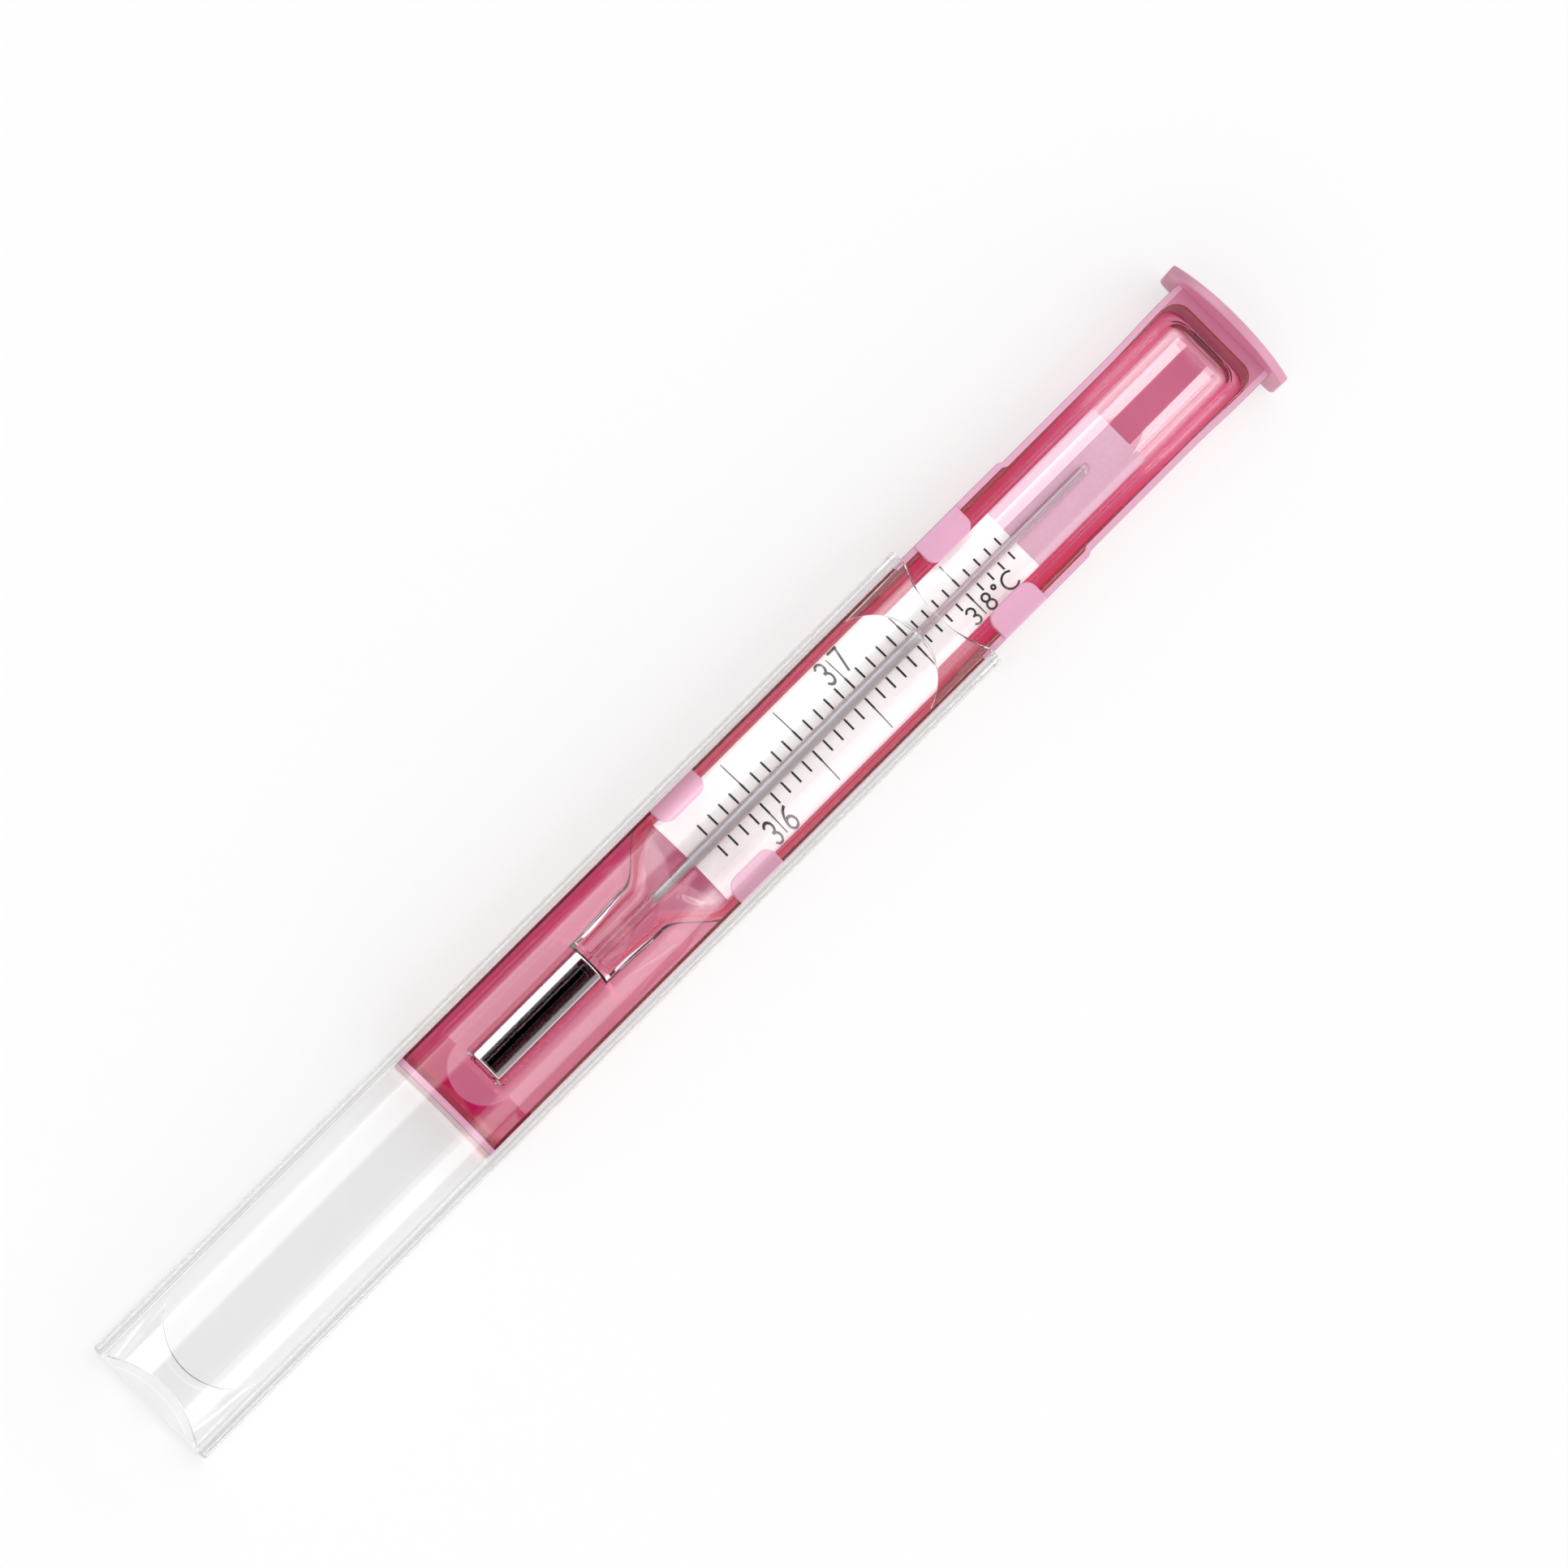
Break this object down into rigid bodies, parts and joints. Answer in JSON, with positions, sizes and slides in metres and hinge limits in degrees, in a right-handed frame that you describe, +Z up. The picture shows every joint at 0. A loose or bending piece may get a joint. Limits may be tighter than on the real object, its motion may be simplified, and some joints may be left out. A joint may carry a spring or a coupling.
{
  "type": "clinical thermometer",
  "caption": "Flat glass fever thermometer clipped into a pink carrier, which slides in a clear sleeve with a magnifying top; a thin metal column rises along a printed scale.",
  "frame": {"origin": "centre of the sleeve's flat base", "axes": "+X along the case towards the pull flange, +Z up through the lens, +Y to the left of +X"},
  "size_m": [0.182, 0.0192, 0.0123],
  "materials": {
    "clear_plastic": "clear moulded plastic, polished",
    "pink_plastic": "transparent pink moulded plastic, polished",
    "glass": "clear blown glass",
    "liquid_metal": "mirror bright liquid metal",
    "white_strip": "matt white",
    "pink_print": "matt pink print",
    "dark_print": "matt dark grey print"
  },
  "bodies": {
    "sleeve": {"sleeve": "clear_plastic"},
    "carrier": {"carrier": "pink_plastic", "sheath_glass": "glass", "bulb_glass": "glass", "reservoir_metal": "liquid_metal", "constriction_pin": "glass", "capillary_tube": "glass", "scale_plate": "white_strip", "colour_field": "pink_print", "short_marks_left": "dark_print", "short_marks_right": "dark_print", "long_marks_left": "dark_print", "long_marks_right": "dark_print", "numerals": "dark_print", "unit_mark": "dark_print"},
    "thread": {"metal_thread": "liquid_metal"}
  },
  "joints": [
    {"name": "carrier_slide", "type": "slide", "parent": "sleeve", "child": "carrier", "axis": [1, 0, 0], "range_m": [-0.0475, 0.0855]},
    {"name": "thread_rise", "type": "slide", "parent": "carrier", "child": "thread", "axis": [1, 0, 0], "range_m": [-0.0357, 0.0142], "deforming": ["metal_thread"]}
  ]
}
